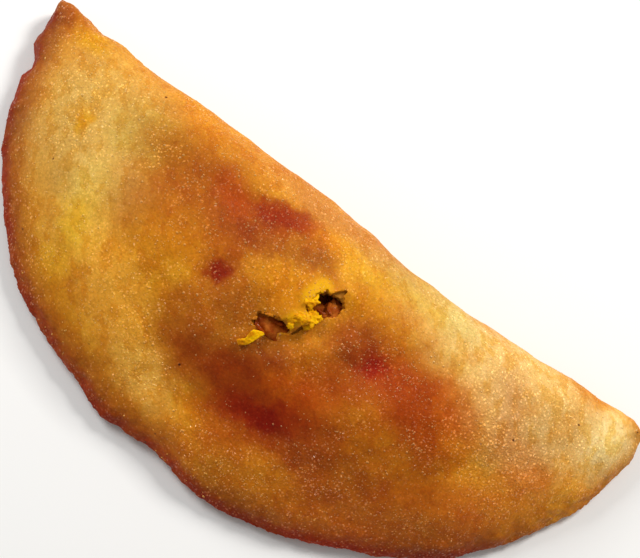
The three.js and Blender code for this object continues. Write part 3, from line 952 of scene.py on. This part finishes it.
# %% Lay the glazes
GLAZES_AND_PAINTED_LIGHT = [  # how much red, green and blue each lets through, its middle, half sizes and turn
    ((0.7, 0.5, 0.5), (-11, 11.5), (7, 5), 0),  # browner between the red streak and the red spot
    ((0.66, 0.5, 0.6), (-6, -0.5), (5.5, 7), 0),  # painted shade in the creases round the tear
    ((0.7, 0.6, 0.7), (1.5, -3), (6, 3.6), 0),
    ((0.62, 0.42, 0.6), (12.5, 6.5), (8, 7), 20),
    ((1.2, 1.5, 1.6), (-38, -3), (7.5, 14), 10),  # painted sheen on the left shoulder
    ((1.0, 1.28, 1.3), (-36, 15), (11, 8), 0),
    ((1.28, 1.55, 1.6), (33.5, 9), (9, 13), 0),  # lighter where the right end begins
    ((1.2, 1.7, 1.4), (22, -3.5), (8, 6), 0),  # ochre right of the tear
    ((1.28, 1.4, 1.5), (-4, -22), (14, 7), -20),  # painted sheen by the round edge
    ((1.15, 1.4, 1.4), (-4, -16.5), (6, 5), 0),
    ((1.25, 1.2, 1.2), (10, -6), (9, 5), 10),  # lighter before the tear
    ((0.8, 0.62, 0.8), (15, -13), (12, 5), 10),  # redder along the dark streak
    ((0.94, 0.66, 0.8), (39, -9), (22, 9), 24),
    ((1.3, 1.1, 1.2), (28, -20), (16, 6), 22),  # painted highlight just inside the browned edge
    ((0.82, 0.74, 0.8), (-63, 24), (6, 11), 0),  # browner round the pointed tip
    ((0.84, 0.86, 0.9), (-59, 5), (5, 9), 0),
    ((1.0, 1.32, 1.4), (20, 21.5), (15, 7), 0),  # painted sheen by the fold
    ((1.03, 0.82, 0.75), (47, 8), (10, 6), 0),  # warmer in the right end
    ((0.78, 0.5, 0.6), (-10.5, 15.5), (6, 4.5), 0),  # deeper in the red streak and the red spots
    ((0.75, 0.62, 0.7), (-3, 14.5), (7.5, 4), 0),
    ((0.75, 0.55, 0.6), (-12.5, 2.5), (6, 5), 0),
    ((0.7, 0.56, 0.7), (-1, -6.2), (6.5, 4.5), 0),  # painted shade in the hollow below the tear
    ((0.85, 0.7, 0.8), (-9, -9.5), (8, 6.5), 0),
    ((1.1, 1.35, 1.2), (5, -7.5), (6.5, 4), 0),  # and yellower in the midst of it
    ((0.95, 0.66, 0.8), (17.5, 5.5), (7, 6), 0),  # redder round the right spot
    ((1.15, 1.38, 1.4), (23.5, 13.5), (8, 6), 0),  # light between spot and fold
    ((0.88, 0.74, 0.75), (37.5, 12.5), (9, 12), 0),  # a shade along the right end
    ((1.05, 1.28, 1.3), (9, 18), (11, 8), 0),  # light behind the dome
    ((0.93, 0.8, 0.8), (28, 25), (11, 5), 0),  # darker on the fold again
    ((0.88, 0.85, 0.9), (-58, 24), (12, 12), 0),  # and in the left end
    ((0.86, 0.82, 0.85), (-32, 3), (8, 8), 0),
    ((1.22, 1.3, 1.3), (38, 2), (7, 5), 0),  # lighter in the right end
    ((1.28, 1.3, 1.3), (56.5, 12), (8, 6), 0),
    ((0.93, 0.76, 0.8), (-15.7, 8.4), (8, 8), 0),  # redder round the left spot
    ((0.85, 0.68, 0.8), (-7.5, -11.5), (7, 6), 0),  # and left of the dark streak
    ((1.1, 1.24, 1.2), (-15.5, -4), (9, 8), 0),  # ochre between the two
    ((1.08, 1.25, 1.3), (-26, -21), (15, 6), -40),  # paler on the left of the round edge
]
GLAZE_HEIGHT = 60
for passes, middle, half, turn in GLAZES_AND_PAINTED_LIGHT:
    where = patch(tree, tight, middle, half, turn, 1.0, GLAZE_HEIGHT)
    base = mix(tree, where, base, glazed(tree, base, passes))
print("glazes:", len(GLAZES_AND_PAINTED_LIGHT))

# %% [markdown]
# ## Curds, milky streaks and mottling
# Seen close, the dough is curdled: yellow curds and milky streaks a millimetre or two long, all drawn out one
# way by the hand that rolled it, and a still finer mottling. These are glazes too, but noise says where they
# lie. A Mapping node stretches the noise along the rolling. The flecks are lit up with painted glints, and
# the fresh dough at the tear comes last, because nothing fried lies over it.

# %% Curdle and mottle the dough
ROLLED = math.radians(36)  # how far the rolling is turned from straight across the fold
streaked = add(
    tree,
    "Mapping",
    {"Vector": wander(tree, place, 3, 2), "Rotation": (0, 0, ROLLED), "Scale": (1, 2, 1)},
    vector_type="TEXTURE",
).outputs[0]
curd = fade(tree, cloud(tree, streaked, 2.2, 3).outputs["Fac"], 0.48, 0.6, 0, 0.65)
base = mix(tree, curd, base, glazed(tree, base, (0.88, 0.72, 0.28)))
milky = fade(tree, cloud(tree, streaked, 1.6, 4, 0.6).outputs["Fac"], 0.5, 0.66, 0, 0.65)
base = mix(tree, milky, base, glazed(tree, base, (1.14, 1.22, 1.5)))
mottle = fade(tree, cloud(tree, place, 0.5, 3, 0.65).outputs["Fac"], 0.3, 0.7, 0.0, 1.0)
base = mix(tree, times(tree, mottle, 0.32), base, glazed(tree, base, (1.6, 1.6, 1.6)))
base = mix(tree, fade(tree, mottle, 0.0, 0.5, 0.14, 0.0), base, glazed(tree, base, (0.6, 0.42, 0.3)))
print("curds and mottling:", len(tree.nodes), "nodes")

# %% Light up the flecks and lay bare the torn dough
# Painted glints: each fleck gets the colour below it, made lighter, with a pale gold added.
painted_glint = mix(tree, 1.0, glazed(tree, base, (1.4, 1.5, 1.5)), colour("7c562c"), "ADD")
base = mix(tree, times(tree, fleck, 0.8), base, painted_glint)
base = mix(tree, fade(tree, attribute(tree, "near_flap"), 0.15, 0.6), base, colour("e6a400"))
base = mix(tree, attribute(tree, "torn"), base, colour("b87820"))
tree.links.new(base, shader.inputs["Base Color"])
print("crust painted with", len(tree.nodes), "nodes")

# %% [markdown]
# ## Grain and oil on the crust
# The meal makes the skin finely rough, and a thin film of oil lies over it in broken glints. Moving the
# points would take millions of them, so the grain is a bump, stronger where the skin is gritty. The oil is
# the shader's coat. It has a rougher bump of its own and only lies where the flecks are, which breaks it
# up.

# %% Give the crust its grain and its film of oil
meal = add(tree, "TexVoronoi", {"Vector": wander(tree, place, 0.6, 0.3), "Scale": 2400})
rough_grain = plus(tree, cloud(tree, place, 0.35, 2).outputs["Fac"], meal.outputs["Distance"])
height = times(tree, rough_grain, grit_and_sheen)
fine = add(tree, "Bump", {"Height": height, "Strength": 0.5, "Distance": 0.1 * MM})
glint = add(tree, "Bump", {"Height": height, "Strength": 1.0, "Distance": 0.4 * MM})
tree.links.new(fine.outputs[0], shader.inputs["Normal"])
tree.links.new(glint.outputs[0], shader.inputs["Coat Normal"])
tree.links.new(fade(tree, fleck, 0.0, 0.6, 0.05, 1.0), shader.inputs["Coat Weight"])
tree.links.new(fade(tree, rough_grain, 0.3, 1.1, 0.4, 0.65), shader.inputs["Roughness"])


def dress(pieces, material):
    """Gives each piece this one material."""
    for piece in pieces:
        piece.data.materials.clear()
        piece.data.materials.append(material)


dress([crust, hem], material)
print("crust and hem:", material.name)

# %% [markdown]
# ## Paler grains
# Each grain has the colour of the dough it sits on, a little paler, with a smooth and glossy skin. A copy of
# the crust's finish keeps the colours, with their painted light and shade, and its bump and its wired gloss
# are replaced by plain numbers.

# %% Make a paler, glossier copy of the finish for the grains
pale_material = material.copy()
pale_material.name = "fried_maize_grain"
tree = pale_material.node_tree
shader = tree.nodes["Principled BSDF"]
source = shader.inputs["Base Color"].links[0].from_socket
tree.links.new(mix(tree, 0.22, source, colour("ffce80")), shader.inputs["Base Color"])
for socket in ("Normal", "Coat Normal", "Coat Weight", "Roughness"):
    tree.links.remove(shader.inputs[socket].links[0])
shader.inputs["Roughness"].default_value = 0.3
shader.inputs["Specular IOR Level"].default_value = 0.1
shader.inputs["Coat Weight"].default_value = 0.4
dress([grains], pale_material)
print("grains:", pale_material.name)

# %% [markdown]
# ## Torn dough and meat
# Freshly torn dough is bright yellow and nearly dry. The meat is dark, red brown and moist, with a broken
# shine where its juices lie. Both are two close colours in soft clouds over a fine bump, so one helper
# paints either, and what sets them apart is typed into their shaders: light seeps into the dough, and juice
# coats the meat.

# %% Paint the torn dough
def paint_clouds(tree, shader, size, codes, grain, strength, depth):
    """Two colours in clouds of one size, over a bump of a finer one. Sizes and depth are in millimetres."""
    place = add(tree, "TexCoord").outputs["Object"]
    tone = fade(tree, cloud(tree, place, size, 3).outputs["Fac"], 0.35, 0.65)
    tree.links.new(mix(tree, tone, colour(codes[0]), colour(codes[1])), shader.inputs["Base Color"])
    height = cloud(tree, place, *grain).outputs["Fac"]
    bump = add(tree, "Bump", {"Height": height, "Strength": strength, "Distance": depth * MM})
    tree.links.new(bump.outputs[0], shader.inputs["Normal"])


material, tree, shader = finish(
    "torn_maize_dough",
    Roughness=0.55,
    Specular_IOR_Level=0.08,
    Subsurface_Weight=0.15,
    Subsurface_Scale=1 * MM,
)
paint_clouds(tree, shader, 1.4, ("d48600", "f6b800"), (0.4, 2), 0.3, 0.15)
dress([lip, flake], material)
print("lip and flake:", material.name)

# %% Paint the meat
material, tree, shader = finish(
    "braised_meat", Roughness=0.55, Specular_IOR_Level=0.05, Coat_Weight=0.07, Coat_Roughness=0.12
)
paint_clouds(tree, shader, 1.8, ("8c3400", "b4601a"), (0.5, 3), 0.6, 0.25)
dress([stuffing, meat], material)
print("filling and shreds:", material.name)

# %% [markdown]
# ## Joining the frame
# Each piece rides on the one body of the model. The fine crust and the lumpy filling stand for the two
# imported nodes, which are then hidden. Smooth shading hides the grid of the skins, whose squares are too
# small to show as facets anyway.

# %% Ride, replace and smooth
for piece in (crust, lip, hem, flake, grains, stuffing, meat):
    pick(piece)
    bpy.ops.object.shade_smooth()
    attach(piece, "root")
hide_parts("crust")
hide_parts("filling")
total = sum(triangles(piece) for piece in (crust, lip, hem, flake, grains, stuffing, meat))
print("the whole empanada:", total, "triangles")

# %% [markdown]
# ## Floor, light and camera
# The empanada lies on a plain pale floor. A broad soft lamp behind the fold is the key, which leaves the
# round edge in its own shade, and a pale world fills in. The camera looks steeply down, and is rolled so
# that the fold runs from upper left to lower right.

# %% Lay the floor
bpy.ops.object.select_all(action="DESELECT")
bpy.ops.mesh.primitive_plane_add(size=4, location=(0, 0, 0))
floor = bpy.context.object
floor.name = "floor"
material, tree, shader = finish("pale_floor", Roughness=0.9)
shader.inputs["Base Color"].default_value = (0.92, 0.92, 0.91, 1)
floor.data.materials.append(material)
print("floor laid")


# %% Hang the lamps and set the world
def lamp(name, place, size, watts, tint=(1, 1, 1)):
    """A square soft lamp that shines at the middle of the floor."""
    light = bpy.data.lights.new(name, "AREA")
    light.size, light.energy, light.color = size, watts, tint
    holder = bpy.data.objects.new(name, light)
    holder.location = place
    holder.rotation_euler = (-Vector(place)).to_track_quat("-Z", "Y").to_euler()
    bpy.context.collection.objects.link(holder)


lamp("key", (0.12, 0.40, 0.36), 0.14, 2.1, (1.0, 0.98, 0.95))
lamp("side", (-0.42, 0.10, 0.34), 0.25, 1.6)
world = bpy.data.worlds.new("studio")
bpy.context.scene.world = world
world.use_nodes = True
world.node_tree.nodes["Background"].inputs["Color"].default_value = (1, 0.99, 0.97, 1)
world.node_tree.nodes["Background"].inputs["Strength"].default_value = 0.32
bpy.context.scene.view_settings.view_transform = "Standard"
print("lamps:", [light.name for light in bpy.data.lights])

# %% Set up the camera
ELEVATION, ROLL = math.radians(75), math.radians(36.33)
DISTANCE, TARGET = 0.2628, Vector((0.00114, 0.0143, 0.009))  # in metres, from the point looked at
back = Vector((0, -math.cos(ELEVATION), math.sin(ELEVATION)))
camera = bpy.data.objects.new("camera", bpy.data.cameras.new("camera"))
camera.data.lens = 85
camera.location = TARGET + back * DISTANCE
level = (-back).to_track_quat("-Z", "Y")
camera.rotation_mode = "QUATERNION"
camera.rotation_quaternion = level @ Euler((0, 0, ROLL)).to_quaternion()
bpy.context.collection.objects.link(camera)
bpy.context.scene.camera = camera
print("camera at", [round(v / MM) for v in camera.location], "mm")
